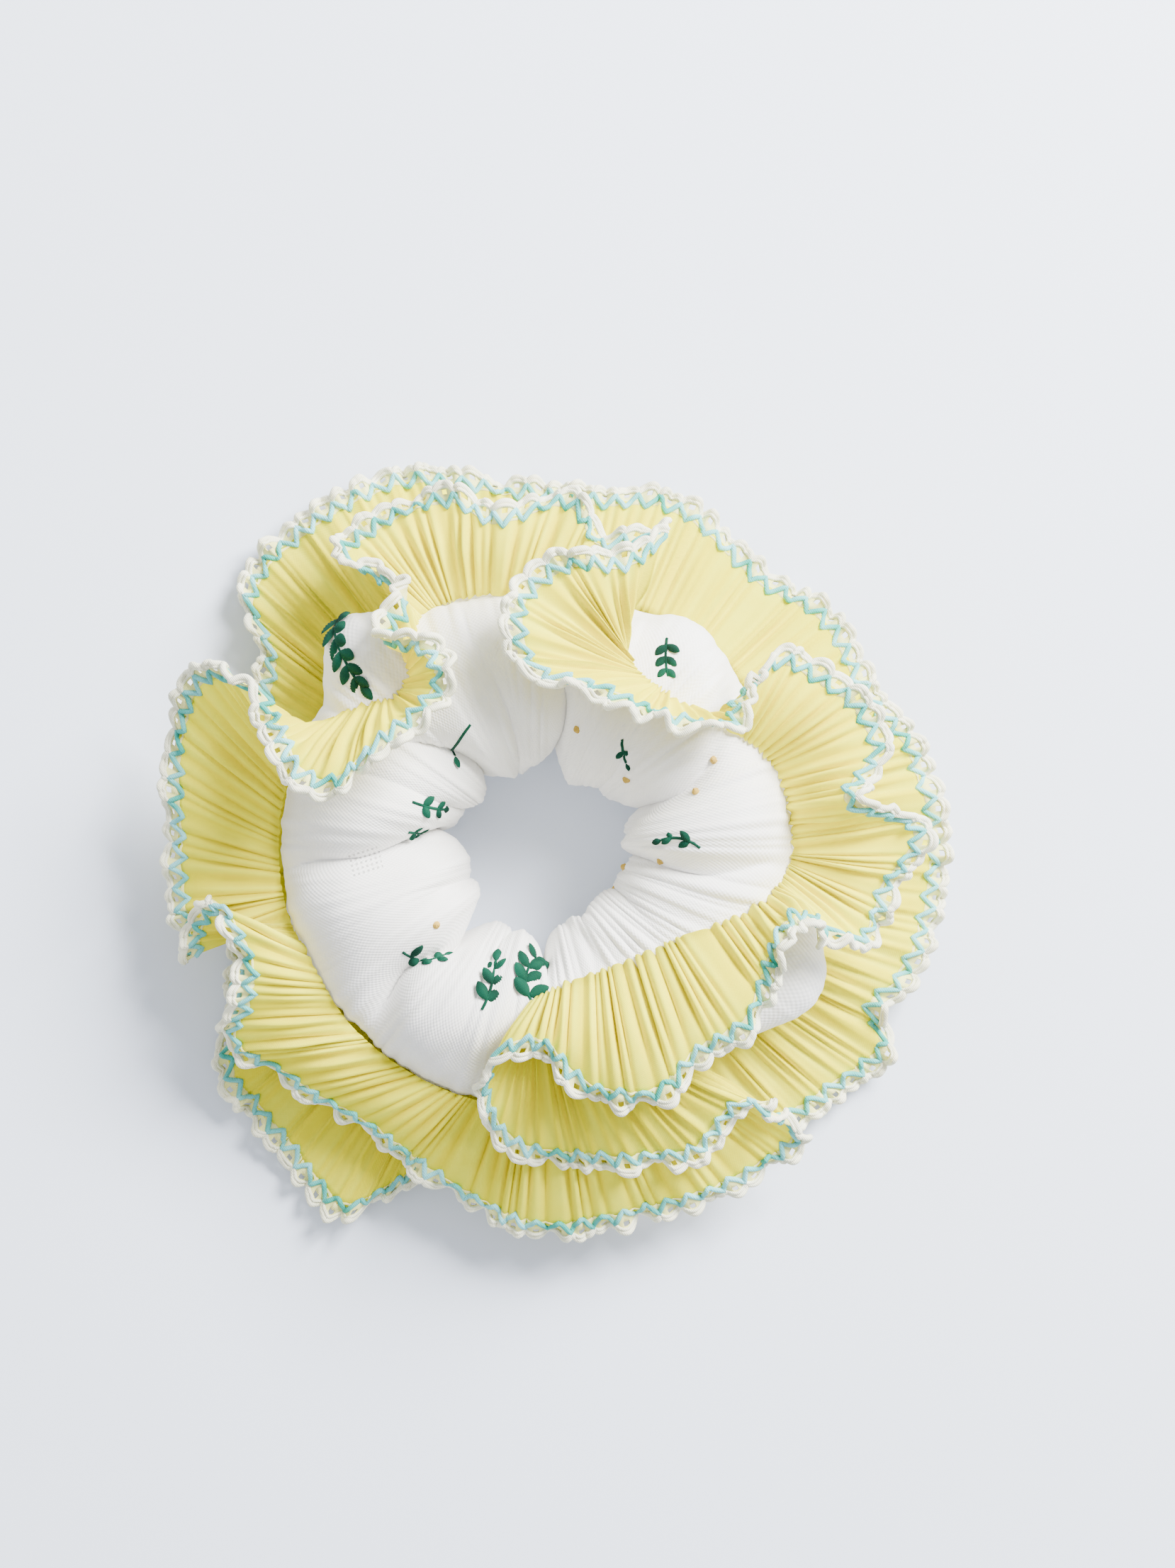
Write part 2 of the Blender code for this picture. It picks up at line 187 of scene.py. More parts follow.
class ScrunchieSizes(bpy.types.PropertyGroup):
    """Sizes that a maker would change."""

    edging_width: size_property("Edging width", "From the hem to the scallops' tips", 4.5 * MM)
    pleat_pitch: size_property("Pleat pitch", "Between two pleats at the hem", 3.3 * MM)
    pleat_depth: size_property("Pleat depth", "From valley to ridge", 1.9 * MM)
    voile_thickness: size_property("Voile thickness", "Thickness of the ruffles' cloth", 0.2 * MM)
    scallop_pitch: size_property("Scallop pitch", "Between two scallops of the lace", 4.5 * MM)
    cord_radius: size_property("Cord radius", "Radius of the cord round the scallops", 0.62 * MM)
    frill: FloatProperty(name="Frill", description="How much the scallops turn up and down", default=1.3)
    zigzag_radius: size_property("Zigzag radius", "Radius of the coloured hem thread", 0.5 * MM)
    puff_height: size_property("Puff height", "How far the cotton puffs out between creases", 5.4 * MM)
    broad_fold: size_property("Broad folds", "Height of the cotton's broad folds", 2.6 * MM)
    gather_depth: size_property("Gather depth", "Depth of the cotton's small folds", 1.5 * MM)
    cotton_thickness: size_property("Cotton thickness", "Thickness of the tube's cloth", 0.4 * MM)
    leaf_length: size_property("Leaf length", "Length of an embroidered leaf", 3.3 * MM)
    cover_columns: IntProperty(
        name="Cotton columns", description="Points of the cotton round the ring", default=560)
    cover_rows: IntProperty(
        name="Cotton rows", description="Points of the cotton round the tube", default=86)


class ScrunchieColours(bpy.types.PropertyGroup):
    """Colours that a maker would change."""

    cotton: colour_property("Cotton", "The tube's cloth", (0.9, 0.885, 0.855))
    # The voile is painted in a light and a deep yellow by each point's place on its pleat. The deep yellow in
    # the valleys is painted shade and the light yellow on the ridges is painted light; the deep yellow is
    # also mixed in at random as mottle.
    voile: colour_property("Voile", "The ruffles' cloth on its ridges", (0.97, 0.94, 0.06))
    voile_shade_and_mottle: colour_property("Voile in folds", "The ruffles' cloth in its valleys", (0.85, 0.69, 0.0))
    lace: colour_property("Lace", "The scallops' cotton", (0.88, 0.87, 0.66))
    # The hem thread is painted in two copies: aqua where lit and teal as painted shade. The thread's look
    # mixes them in random patches.
    aqua: colour_property("Aqua", "The hem thread, lit", (0.26, 0.66, 0.70))
    aqua_in_shade: colour_property("Teal", "The hem thread, deep", (0.04, 0.38, 0.32))
    green: colour_property("Green", "The sprigs' thread", (0.002, 0.05, 0.028))
    ochre: colour_property("Ochre", "The knots' thread", (0.52, 0.34, 0.07))
    table: colour_property("Table", "The floor", (0.79, 0.85, 0.97))


def sizes():
    return bpy.context.scene.scrunchie_sizes


def colours():
    return bpy.context.scene.scrunchie_colours


# Shapes


def tube_points(around, section, height=0.0):
    """Points over the tube: arrays of angles round the ring and round the section (0 is the outer side)."""
    out = np.stack([np.cos(section) / TUBE_HALF_WIDTH, np.sin(section) / TUBE_HALF_HEIGHT])
    out /= np.linalg.norm(out, axis=0)
    radius = RING_RADIUS + TUBE_HALF_WIDTH * np.cos(section) + height * out[0]
    z = TUBE_MIDDLE + TUBE_HALF_HEIGHT * np.sin(section) + height * out[1]
    spots = np.stack([radius * np.cos(around), radius * np.sin(around), np.maximum(z, LOWEST)], axis=-1)
    return spots + RING_CENTRE


def unit(vectors):
    return vectors / np.maximum(np.linalg.norm(vectors, axis=-1, keepdims=True), 1e-12)


def billow(points):
    """Noise with round ridges and sharp valleys, from 0 to 1."""
    return np.array([abs(noise.noise(point)) for point in points.reshape(-1, 3)]).reshape(points.shape[:-1])


def smooth_noise(points):
    return np.array([noise.noise(point) for point in points.reshape(-1, 3)]).reshape(points.shape[:-1])


@cache
def hem_feet():
    """The line on the bare tube where the upper ruffle's heading is stitched, as a tree to measure from."""
    spots = [tube_points(radians(around), radians(section)) for around, section, *_ in UPPER_RIBS]
    line = closed_spline(spots, np.arange(1200) / 1200)
    feet = kdtree.KDTree(len(line))
    for n, spot in enumerate(line):
        feet.insert(spot, n)
    feet.balance()
    return feet


def crease_puffs(around, section):
    """Puffs between the deepest creases: 0 in a crease, 1 on a crown."""
    outer = (1 + np.cos(section)) / 2
    puff = np.ones_like(around)
    for inner, edge, depth in CREASES:
        middle = np.radians(inner + (edge - inner) * outer) + 0.05 * np.sin(2.5 * section + inner)
        away = (around - middle + pi) % tau - pi
        fold, shoulder = np.exp(-np.abs(away) / CREASE_WIDTH), np.exp(-((away / CREASE_SHOULDER) ** 2))
        puff = puff - depth * (0.6 * fold + 0.4 * shoulder)
    return puff


def cover_height(around, section):
    """How far the gathered cotton stands off the tube: puffs, broad folds, and gathers by the stitching."""
    size = sizes()
    ring = np.stack([np.cos(around), np.sin(around), 0 * around], axis=-1)
    up = np.stack([0 * section, 0 * section, section], axis=-1)
    warp = 0.3 * np.sin(2 * section + 5 * around)[..., None]
    broad = smooth_noise(ring * BROAD_RATE + up * 0.5 + warp + 3.1)
    gathers = billow(ring * GATHER_RATE + up * 0.35 + 0.4 * warp + 7.7)
    height = size.puff_height * (0.9 * crease_puffs(around, section) - 0.45) + size.broad_fold * broad
    spots = tube_points(around, section).reshape(-1, 3)
    feet = hem_feet()
    gap = np.array([feet.find(spot)[2] for spot in spots]).reshape(around.shape)
    stitched = np.exp(-((gap / STITCH_REACH) ** 2))
    height = height * (1 - 0.9 * stitched) + STITCH_RISE * stitched
    near = np.exp(-gap / GATHER_REACH) * np.clip(gap / (2 * MM), 0.25, 1)
    height = height + size.gather_depth * (gathers - 0.25) * (0.32 + 1.0 * near)
    # Flatter low on the outer side, behind the lower ruffle
    low = np.clip((0.4 - np.sin(section)) / 0.5, 0, 1) * np.clip((np.cos(section) + 0.1) / 0.3, 0, 1)
    height = height * (1 - 0.6 * low)
    for at, over, rise, reach, spread in BULGES:
        along = ((around - radians(at) + pi) % tau - pi) * (RING_RADIUS + TUBE_HALF_WIDTH) / (reach * MM)
        across = ((section - radians(over) + pi) % tau - pi) * TUBE_HALF_HEIGHT / (spread * MM)
        height = height + rise * MM * np.exp(-(along**2) - across**2)
    return height


def cover_spot(around, section, height=0.0):
    """A point on the gathered cotton, and the cotton's normal there."""
    step = 0.02  # radians between the points that give the normal
    grid_around = np.array([around, around + step, around])
    grid_section = np.array([section, section, section + step])
    spots = tube_points(grid_around, grid_section, cover_height(grid_around, grid_section))
    normal = unit(np.cross(spots[1] - spots[0], spots[2] - spots[0]))
    return spots[0] + normal * height, normal


def closed_spline(rows, at):
    """Values at parameters from 0 to 1 of the smooth closed curve through the rows."""
    rows = np.array(rows, float)
    ahead = np.roll(rows, -1, axis=0)
    steps = np.sqrt(np.linalg.norm(ahead - rows, axis=1))
    before = np.roll(steps, 1)
    incoming = (rows - np.roll(rows, 1, axis=0)) / before[:, None]
    outgoing = (ahead - rows) / steps[:, None]
    slopes = (incoming * steps[:, None] + outgoing * before[:, None]) / (before + steps)[:, None]
    knots = np.concatenate([[0], np.cumsum(steps)])
    spot = (np.asarray(at) % 1) * knots[-1]
    n = np.clip(np.searchsorted(knots, spot, side="right") - 1, 0, len(rows) - 1)
    t = ((spot - knots[n]) / steps[n])[:, None]
    after, width = (n + 1) % len(rows), steps[n][:, None]
    return (
        rows[n] * (2 * t**3 - 3 * t**2 + 1)
        + slopes[n] * width * (t**3 - 2 * t**2 + t)
        + rows[after] * (3 * t**2 - 2 * t**3)
        + slopes[after] * width * (t**3 - t**2)
    )


class Tier:
    """One ruffle's surface: ribs from its heading to the scallops' tips, spaced evenly along the hem."""

    def __init__(self, rows, seed):
        self.rows = rows
        self.seed = seed
        fine = np.linspace(0, 1, 6001)
        values = closed_spline(rows, fine)
        hem = values[:, 3:6]
        run = np.concatenate([[0], np.cumsum(np.linalg.norm(np.diff(hem, axis=0), axis=1))])
        self.length = run[-1]
        self.fine, self.run = fine, run / run[-1]

    def ribs(self, share_along):
        values = closed_spline(self.rows, np.interp(np.asarray(share_along) % 1, self.run, self.fine))
        return values[:, 0:3], values[:, 3:6], values[:, 6]

    def waver(self, along, rate, shift=0):
        """Noise along the hem that meets itself at the end."""
        spots = [Vector((cos(tau * share), sin(tau * share), 0)) for share in along]
        return np.array([noise.noise(spot * rate + Vector((0, 0, self.seed + shift))) for spot in spots])

    def grid(self, columns, shares, from_tip=False):
        """Points (columns, rows, 3) of the pleated cloth, its normals, and each point's place on its pleat.

        The shares run from 0 at the heading to 1 at the hem. From the tip, they are distances in metres.
        """
        along = np.arange(columns) / columns
        foot, tip, rise = self.ribs(along)
        length = np.linalg.norm(tip - foot, axis=1)[:, None]
        if from_tip:
            share = np.clip(1 + shares[None, :] / length, -0.2, 1.2)
        else:
            share = shares[None, :] * (1 - HEM_INSET / length)
        points = foot[:, None] + (tip - foot)[:, None] * share[..., None]
        points[..., 2] += rise[:, None] * 4 * share * (1 - share)
        tangent = np.roll(points, -1, axis=0) - np.roll(points, 1, axis=0)
        across = np.gradient(points, axis=1)
        normal = unit(np.cross(tangent, across))
        size = sizes()
        pleats = round(self.length / size.pleat_pitch)
        # The pleats stray from an even pitch and an even depth, and grow calmer towards the hem
        wobble = self.waver(along, 14)
        loose = self.waver(along, 12, 5)
        uneven = self.waver(along, 31, 9)
        phase = pleats * along + 1.5 * wobble + 0.5 * uneven
        sharp = 2 * np.abs(np.sin(pi * phase)) ** 1.1 - 1.1
        slow = np.sin(tau * (0.37 * pleats * along + 1.3 * wobble))
        flatter = np.clip((np.clip(share, 0, 1) - 0.4) / 0.4, 0, 1)
        calm = 1 - 0.68 * flatter**2 * (3 - 2 * flatter)
        fold = sharp * np.clip(0.95 + 1.5 * uneven, 0.35, 1.7)
        depth = size.pleat_depth / 2 * calm * (0.5 + 0.5 * np.clip(2.5 * share, 0, 1))
        # A slow swing under the pleats, then the pleats, and a drift that grows towards the hem
        points = points + normal * (slow[:, None] * depth * 0.45)[..., None]
        drift = 2.2 * MM * np.clip(share, 0, 1) ** 2 * loose[:, None]
        points = points + normal * (fold[:, None] * depth + drift)[..., None]
        points[..., 2] = np.maximum(points[..., 2], 0.5 * MM)
        # The last value, 1 on a pleat's ridge and low in its valleys, is what the voile's colour uses for
        # painted light and painted shade.
        return points, normal, np.broadcast_to(np.clip(sharp * 0.5 + 0.6, 0, 1)[:, None], share.shape)


def upper_tier():
    rows = []
    for around, section, x, y, z, rise in UPPER_RIBS:
        foot = tube_points(radians(around), radians(section), FOOT_OFF_COVER)
        rows.append((*foot, x * MM, y * MM, z * MM, rise * MM))
    return Tier(rows, 2.0)


def lower_tier():
    rows = []
    for x, y, z in LOWER_TIPS:
        around = atan2(y * MM - RING_CENTRE[1], x * MM - RING_CENTRE[0])
        rows.append((*tube_points(around, SEAM_SECTION), x * MM, y * MM, z * MM, LOWER_RISE))
    return Tier(rows, 11.0)


# Meshes


def grid_mesh(name, points, closed=True, keep=None, uv=None, values=None):
    """A sheet through points (columns, rows, 3), with UVs in metres and a value at each point."""
    columns, rows = points.shape[:2]
    i, j = np.meshgrid(np.arange(columns if closed else columns - 1), np.arange(rows - 1), indexing="ij")
    if keep is not None:
        i, j = i[keep(i, j)], j[keep(i, j)]
    i, j = i.ravel(), j.ravel()
    following = (i + 1) % columns
    faces = np.stack([i * rows + j, following * rows + j, following * rows + j + 1, i * rows + j + 1], axis=1)
    mesh = bpy.data.meshes.new(name)
    mesh.from_pydata(points.reshape(-1, 3), [], faces)
    if uv is not None:
        layer = mesh.uv_layers.new(name="cloth")
        across, along = np.stack([i, i + 1, i + 1, i], 1), np.stack([j, j, j + 1, j + 1], 1)
        flat = np.stack([across * uv[0], along * uv[1]], axis=-1)
        layer.uv.foreach_set("vector", flat.astype(np.float32).ravel())
    if values is not None:
        # The values are each point's place on its pleat, used for painted light on the ridges and painted
        # shade in the valleys.
        layer = mesh.attributes.new("painted_pleat_light", "FLOAT", "POINT")
        layer.data.foreach_set("value", np.ascontiguousarray(values, np.float32).ravel())
    mesh.shade_smooth()
    return mesh


def add(name, mesh, material=None):
    obj = bpy.data.objects.new(name, mesh)
    bpy.context.scene.collection.objects.link(obj)
    if material:
        mesh.materials.clear()
        mesh.materials.append(material)
    return obj


def settle(obj):
    """Makes the evaluated shape the object's own plain mesh, with no modifier left."""
    view = bpy.context.evaluated_depsgraph_get()
    mesh = bpy.data.meshes.new_from_object(obj.evaluated_get(view))
    obj.modifiers.clear()
    obj.data = mesh
    if not mesh.polygons:
        raise RuntimeError(f"{obj.name} came out empty")
    return obj


def thickened(obj, thickness):
    solid = obj.modifiers.new("thickness", "SOLIDIFY")
    solid.thickness = thickness
    solid.offset = 0
    return settle(obj)


def joined(name, objects):
    """One object from several, in the order given."""
    for other in bpy.context.selected_objects:
        other.select_set(False)
    for obj in objects:
        obj.select_set(True)
    bpy.context.view_layer.objects.active = objects[0]
    bpy.ops.object.join()
    objects[0].name = objects[0].data.name = name
    return objects[0]


# Geometry Nodes


class Tree:
    """A Geometry Nodes tree with named inputs, and short ways to add and join its nodes."""

    def __init__(self, name, inputs):
        self.tree = bpy.data.node_groups.new(name, "GeometryNodeTree")
        self.tree.interface.new_socket("Geometry", in_out="INPUT", socket_type="NodeSocketGeometry")
        for label, kind, default in inputs:
            socket = self.tree.interface.new_socket(label, in_out="INPUT", socket_type=f"NodeSocket{kind}")
            if default is not None:
                socket.default_value = default
        self.tree.interface.new_socket("Geometry", in_out="OUTPUT", socket_type="NodeSocketGeometry")
        self.inputs = self.tree.nodes.new("NodeGroupInput").outputs
        self.outputs = self.tree.nodes.new("NodeGroupOutput").inputs

    def node(self, kind, *links, **settings):
        node = self.tree.nodes.new(kind)
        for key, value in settings.items():
            setattr(node, key, value)
        for key, value in links:
            if isinstance(value, bpy.types.NodeSocket):
                self.tree.links.new(value, node.inputs[key])
            else:
                node.inputs[key].default_value = value
        return node

    def math(self, operation, *values):
        return self.node("ShaderNodeMath", *enumerate(values), operation=operation).outputs[0]

    def vector(self, operation, a, b):
        second = "Scale" if operation == "SCALE" else 1
        return self.node("ShaderNodeVectorMath", (0, a), (second, b), operation=operation).outputs[0]

    def tube(self, line, section):
        node = self.node(
            "GeometryNodeCurveToMesh", ("Curve", line), ("Profile Curve", section), ("Fill Caps", True))
        return node.outputs[0]

    def named(self, name, kind="FLOAT_VECTOR"):
        node = self.node("GeometryNodeInputNamedAttribute", ("Name", name), data_type=kind)
        return node.outputs["Attribute"]

    def finish(self, geometry):
        plain = self.node("GeometryNodeRealizeInstances", ("Geometry", geometry))
        smooth = self.node("GeometryNodeSetShadeSmooth", ("Geometry", plain.outputs[0]))
        painted = self.node(
            "GeometryNodeSetMaterial", ("Geometry", smooth.outputs[0]), ("Material", self.inputs["Material"])
        )
        self.tree.links.new(painted.outputs[0], self.outputs[0])
        return self.tree


def grown(name, mesh, tree, **values):
    """The tree's result on the mesh, as an object with a plain mesh."""
    obj = add(name, mesh)
    modifier = obj.modifiers.new(tree.name, "NODES")
    modifier.node_group = tree
    sockets = tree.interface.items_tree.items()
    labels = {label.lower().replace(" ", "_"): item.identifier for label, item in sockets}
    for label, value in values.items():
        modifier[labels[label]] = value
    return settle(obj)


def hem_cord_tree():
    """A cord that waves along a hem: pointed at roundness 0, scalloped at roundness 1."""
    tree = bpy.data.node_groups.get("Hem cord")
    if tree:
        return tree
    made = Tree("Hem cord", (
        ("Base", "Float", 0.0), ("Reach", "Float", 0.0), ("Roundness", "Float", 0.0), ("Lift", "Float", 0.0),
        ("Radius", "Float", 0.0005), ("Sides", "Int", 6), ("Lumps", "Float", 0.0),
        ("Lump Size", "Float", 0.0), ("Material", "Material", None),
    ))
    run = made.named("run", "FLOAT")
    pointed = made.math("MULTIPLY", made.math("PINGPONG", run, 0.5), 2.0)
    arch = made.math("ABSOLUTE", made.math("SINE", made.math("MULTIPLY", run, pi)))
    rounded = made.math("POWER", arch, SCALLOP_ROUNDNESS)
    step = made.math("MULTIPLY", made.math("SUBTRACT", rounded, pointed), made.inputs["Roundness"])
    wave = made.math("ADD", pointed, step)
    reach = made.math("MULTIPLY_ADD", wave, made.inputs["Reach"], made.inputs["Base"])
    offset = made.vector("ADD", made.vector("SCALE", made.named("outward"), reach),
                         made.vector("SCALE", made.named("lift"), made.inputs["Lift"]))
    line = made.node("GeometryNodeMeshToCurve", ("Mesh", made.inputs["Geometry"])).outputs[0]
    placed = made.node("GeometryNodeSetPosition", ("Geometry", line), ("Offset", offset)).outputs[0]
    lumps = made.math("SINE", made.math("MULTIPLY", run, made.inputs["Lumps"]))
    lumps = made.math("MULTIPLY_ADD", lumps, made.inputs["Lump Size"], 1.0)
    placed = made.node("GeometryNodeSetCurveRadius", ("Curve", placed), ("Radius", lumps)).outputs[0]
    ring = made.node("GeometryNodeCurvePrimitiveCircle", ("Resolution", made.inputs["Sides"]),
                     ("Radius", made.inputs["Radius"])).outputs[0]
    return made.finish(made.tube(placed, ring))


def leaf_tree():
    """Satin-stitch leaves, one on each point: a domed almond with slanting grooves between its stitches."""
    tree = bpy.data.node_groups.get("Satin leaves")
    if tree:
        return tree
    made = Tree("Satin leaves", (
        ("Width", "Float", 0.58), ("Dome", "Float", 0.16), ("Groove", "Float", 0.03),
        ("Stitches", "Float", 8.0), ("Material", "Material", None),
    ))
    grid = made.node(
        "GeometryNodeMeshGrid", ("Size X", 1.0), ("Size Y", 1.0), ("Vertices X", 17), ("Vertices Y", 6))
    axes = made.node("ShaderNodeSeparateXYZ", (0, made.node("GeometryNodeInputPosition").outputs[0])).outputs
    along = made.math("ADD", axes[0], 0.5)
    arch = made.math("SINE", made.math("MULTIPLY", along, pi))
    swell = made.math("POWER", made.math("MAXIMUM", arch, 0.0), 0.7)
    side = made.math("MULTIPLY", made.math("MULTIPLY", axes[1], swell), made.inputs["Width"])
    aside = made.math("ABSOLUTE", made.math("MULTIPLY", axes[1], 2.0))
    rim = made.math("SUBTRACT", 1.0, made.math("POWER", aside, 2.0))
    dome = made.math("MULTIPLY", made.math("MULTIPLY", rim, swell), made.inputs["Dome"])
    slant = made.math("ADD", along, made.math("MULTIPLY", made.math("ABSOLUTE", axes[1]), 0.5))
    turns = made.math("MULTIPLY", made.math("MULTIPLY", slant, made.inputs["Stitches"]), tau)
    groove = made.math("SINE", turns)
    top = made.math("MULTIPLY_ADD", made.math("MULTIPLY", groove, made.inputs["Groove"]), swell, dome)
    shape = made.node("ShaderNodeCombineXYZ", (0, along), (1, side), (2, top)).outputs[0]
    leaf = made.node("GeometryNodeSetPosition", ("Geometry", grid.outputs[0]), ("Position", shape)).outputs[0]
    upright = made.node("FunctionNodeAlignRotationToVector", ("Vector", made.named("lift")), axis="Z")
    turned = made.node("FunctionNodeAlignRotationToVector", ("Rotation", upright.outputs[0]),
                       ("Vector", made.named("outward")), axis="X", pivot_axis="Z")
    copies = made.node(
        "GeometryNodeInstanceOnPoints", ("Points", made.inputs["Geometry"]), ("Instance", leaf),
        ("Rotation", turned.outputs[0]), ("Scale", made.named("run", "FLOAT")))
    return made.finish(copies.outputs[0])


def knot_tree():
    """A knot of thread on each point: a few tight turns that climb and close."""
    tree = bpy.data.node_groups.get("Thread knots")
    if tree:
        return tree
    made = Tree("Thread knots", (
        ("Turns", "Float", 3.2), ("Spread", "Float", 0.0006), ("Height", "Float", 0.0006),
        ("Radius", "Float", 0.00026), ("Material", "Material", None),
    ))
    coil = made.node(
        "GeometryNodeCurveSpiral", ("Resolution", 14), ("Rotations", made.inputs["Turns"]),
        ("Start Radius", made.inputs["Spread"]), ("End Radius", 0.00012), ("Height", made.inputs["Height"]))
    ring = made.node(
        "GeometryNodeCurvePrimitiveCircle", ("Resolution", 6), ("Radius", made.inputs["Radius"])).outputs[0]
    knot = made.tube(coil.outputs[0], ring)
    upright = made.node("FunctionNodeAlignRotationToVector", ("Vector", made.named("lift")), axis="Z")
    copies = made.node("GeometryNodeInstanceOnPoints", ("Points", made.inputs["Geometry"]),
                       ("Instance", knot), ("Rotation", upright.outputs[0]))
    return made.finish(copies.outputs[0])


def guide(name, points, closed, **attributes):
    """A line or a set of points that a tree follows, with the values it reads at each point."""
    count = len(points)
    edges = [(n, (n + 1) % count) for n in range(count if closed else count - 1)]
    mesh = bpy.data.meshes.new(name)
    mesh.from_pydata(points, edges, [])
    for label, values in attributes.items():
        values = np.ascontiguousarray(values, np.float32)
        kind, field = ("FLOAT_VECTOR", "vector") if values.ndim == 2 else ("FLOAT", "value")
        mesh.attributes.new(label, kind, "POINT").data.foreach_set(field, values.ravel())
    return mesh


# Materials


class Look:
    """A material on a Principled shader, and short ways to add its nodes."""

    def __init__(self, name, roughness=0.8, **constants):
        self.material = bpy.data.materials.new(name)
        self.material.use_nodes = True
        self.nodes, self.links = self.material.node_tree.nodes, self.material.node_tree.links
        self.shader = self.nodes["Principled BSDF"]
        self.shader.inputs["Roughness"].default_value = roughness
        for label, value in constants.items():
            self.shader.inputs[label.replace("_", " ")].default_value = value

    node = Tree.node

    @property
    def tree(self):
        return self.material.node_tree

    def mix(self, share, a, b):
        node = self.nodes.new("ShaderNodeMix")
        node.data_type = "RGBA"
        for key, value in ((0, share), (6, a), (7, b)):
            if isinstance(value, bpy.types.NodeSocket):
                self.links.new(value, node.inputs[key])
            else:
                node.inputs[key].default_value = value if key == 0 else (*value, 1)
        return node.outputs[2]

    def colour(self, socket):
        self.links.new(socket, self.shader.inputs["Base Color"])

    def bump(self, height, strength, distance):
        bump = self.node("ShaderNodeBump", ("Height", height), ("Strength", strength), ("Distance", distance))
        self.links.new(bump.outputs[0], self.shader.inputs["Normal"])


def thread_group():
    """Spun or woven thread: a height and a mask from crossed waves, roughened a little by noise."""
    group = bpy.data.node_groups.get("Woven threads")
    if group:
        return group
    group = bpy.data.node_groups.new("Woven threads", "ShaderNodeTree")
    for label, kind in (("Vector", "Vector"), ("Across", "Float"), ("Along", "Float")):
        group.interface.new_socket(label, in_out="INPUT", socket_type=f"NodeSocket{kind}")
    for label in ("Height", "Mottle"):
        group.interface.new_socket(label, in_out="OUTPUT", socket_type="NodeSocketFloat")
    given, out = group.nodes.new("NodeGroupInput").outputs, group.nodes.new("NodeGroupOutput").inputs

    def math(operation, a, b=0.0):
        node = group.nodes.new("ShaderNodeMath")
        node.operation = operation
        for key, value in enumerate((a, b)):
            if isinstance(value, bpy.types.NodeSocket):
                group.links.new(value, node.inputs[key])
            else:
                node.inputs[key].default_value = value
        return node.outputs[0]

    axes = group.nodes.new("ShaderNodeSeparateXYZ")
    group.links.new(given["Vector"], axes.inputs[0])
    warp = math("SINE", math("DIVIDE", math("MULTIPLY", axes.outputs[0], tau), given["Across"]))
    weft = math("SINE", math("DIVIDE", math("MULTIPLY", axes.outputs[1], tau), given["Along"]))
    fuzz = group.nodes.new("ShaderNodeTexNoise")
    group.links.new(given["Vector"], fuzz.inputs["Vector"])
    fuzz.inputs["Scale"].default_value = 900
    fuzz.inputs["Detail"].default_value = 2
    group.links.new(math("ADD", math("MULTIPLY", warp, weft), fuzz.outputs[0]), out["Height"])
    mottle = group.nodes.new("ShaderNodeTexNoise")
    group.links.new(given["Vector"], mottle.inputs["Vector"])
    mottle.inputs["Scale"].default_value = 120
    group.links.new(mottle.outputs[0], out["Mottle"])
    return group


def threads(look, across, along, uv=False):
    """The thread pattern's height and mottle in a look, on the cloth's UVs or on object coordinates."""
    place = look.node("ShaderNodeTexCoord").outputs["UV" if uv else "Object"]
    node = look.node("ShaderNodeGroup", ("Vector", place), ("Across", across), ("Along", along),
                     node_tree=thread_group())
    return node.outputs["Height"], node.outputs["Mottle"]


def once(name, make):
    return bpy.data.materials.get(name) or make(name)


def tinted(colour, factor):
    return tuple(min(channel * factor, 1) for channel in colour)


def drawn_thread_shade(look):
    """A mask of small open squares, where threads are drawn out of the cotton for decoration; the cotton is
    painted darker there, as painted shade seen through the holes.
    """
    place = look.node("ShaderNodeTexCoord").outputs["Object"]
    back = (-PATCH_MIDDLE[0], -PATCH_MIDDLE[1], 0)
    patch = look.node("ShaderNodeMapping", ("Vector", place), ("Location", back))
    turned = look.node("ShaderNodeMapping", ("Vector", patch.outputs[0]), ("Rotation", (0, 0, PATCH_TURN)))
    axes = look.node("ShaderNodeSeparateXYZ", (0, turned.outputs[0])).outputs
    mask = 1.0
    for axis, half in enumerate(PATCH_HALVES):
        away = look.node("ShaderNodeMath", (0, axes[axis]), operation="ABSOLUTE").outputs[0]
        inside = look.node("ShaderNodeMath", (0, away), (1, half), operation="LESS_THAN").outputs[0]
        rate = tau / HOLE_PITCH
        turns = look.node("ShaderNodeMath", (0, axes[axis]), (1, rate), operation="MULTIPLY").outputs[0]
        wave = look.node("ShaderNodeMath", (0, turns), operation="SINE").outputs[0]
        holes = look.node("ShaderNodeMath", (0, wave), (1, 0.1), operation="GREATER_THAN").outputs[0]
        both = look.node("ShaderNodeMath", (0, inside), (1, holes), operation="MULTIPLY").outputs[0]
        mask = look.node("ShaderNodeMath", (0, both), (1, mask), operation="MULTIPLY").outputs[0]
    return mask


def cotton_look(name="gathered white cotton"):
    look = Look(name, 0.92, Sheen_Weight=0.25, Specular_IOR_Level=0.2)
    height, mottle = threads(look, 0.95 * MM, 0.95 * MM, uv=True)
    plain = look.mix(mottle, tinted(colours().cotton, 0.96), tinted(colours().cotton, 1.05))
    # The drawn-thread holes are painted in a darker copy of the cotton: painted shade seen through the holes.
    look.colour(look.mix(drawn_thread_shade(look), plain, tinted(colours().cotton, 0.55)))
    look.bump(height, 0.35, 0.12 * MM)
    return look.material


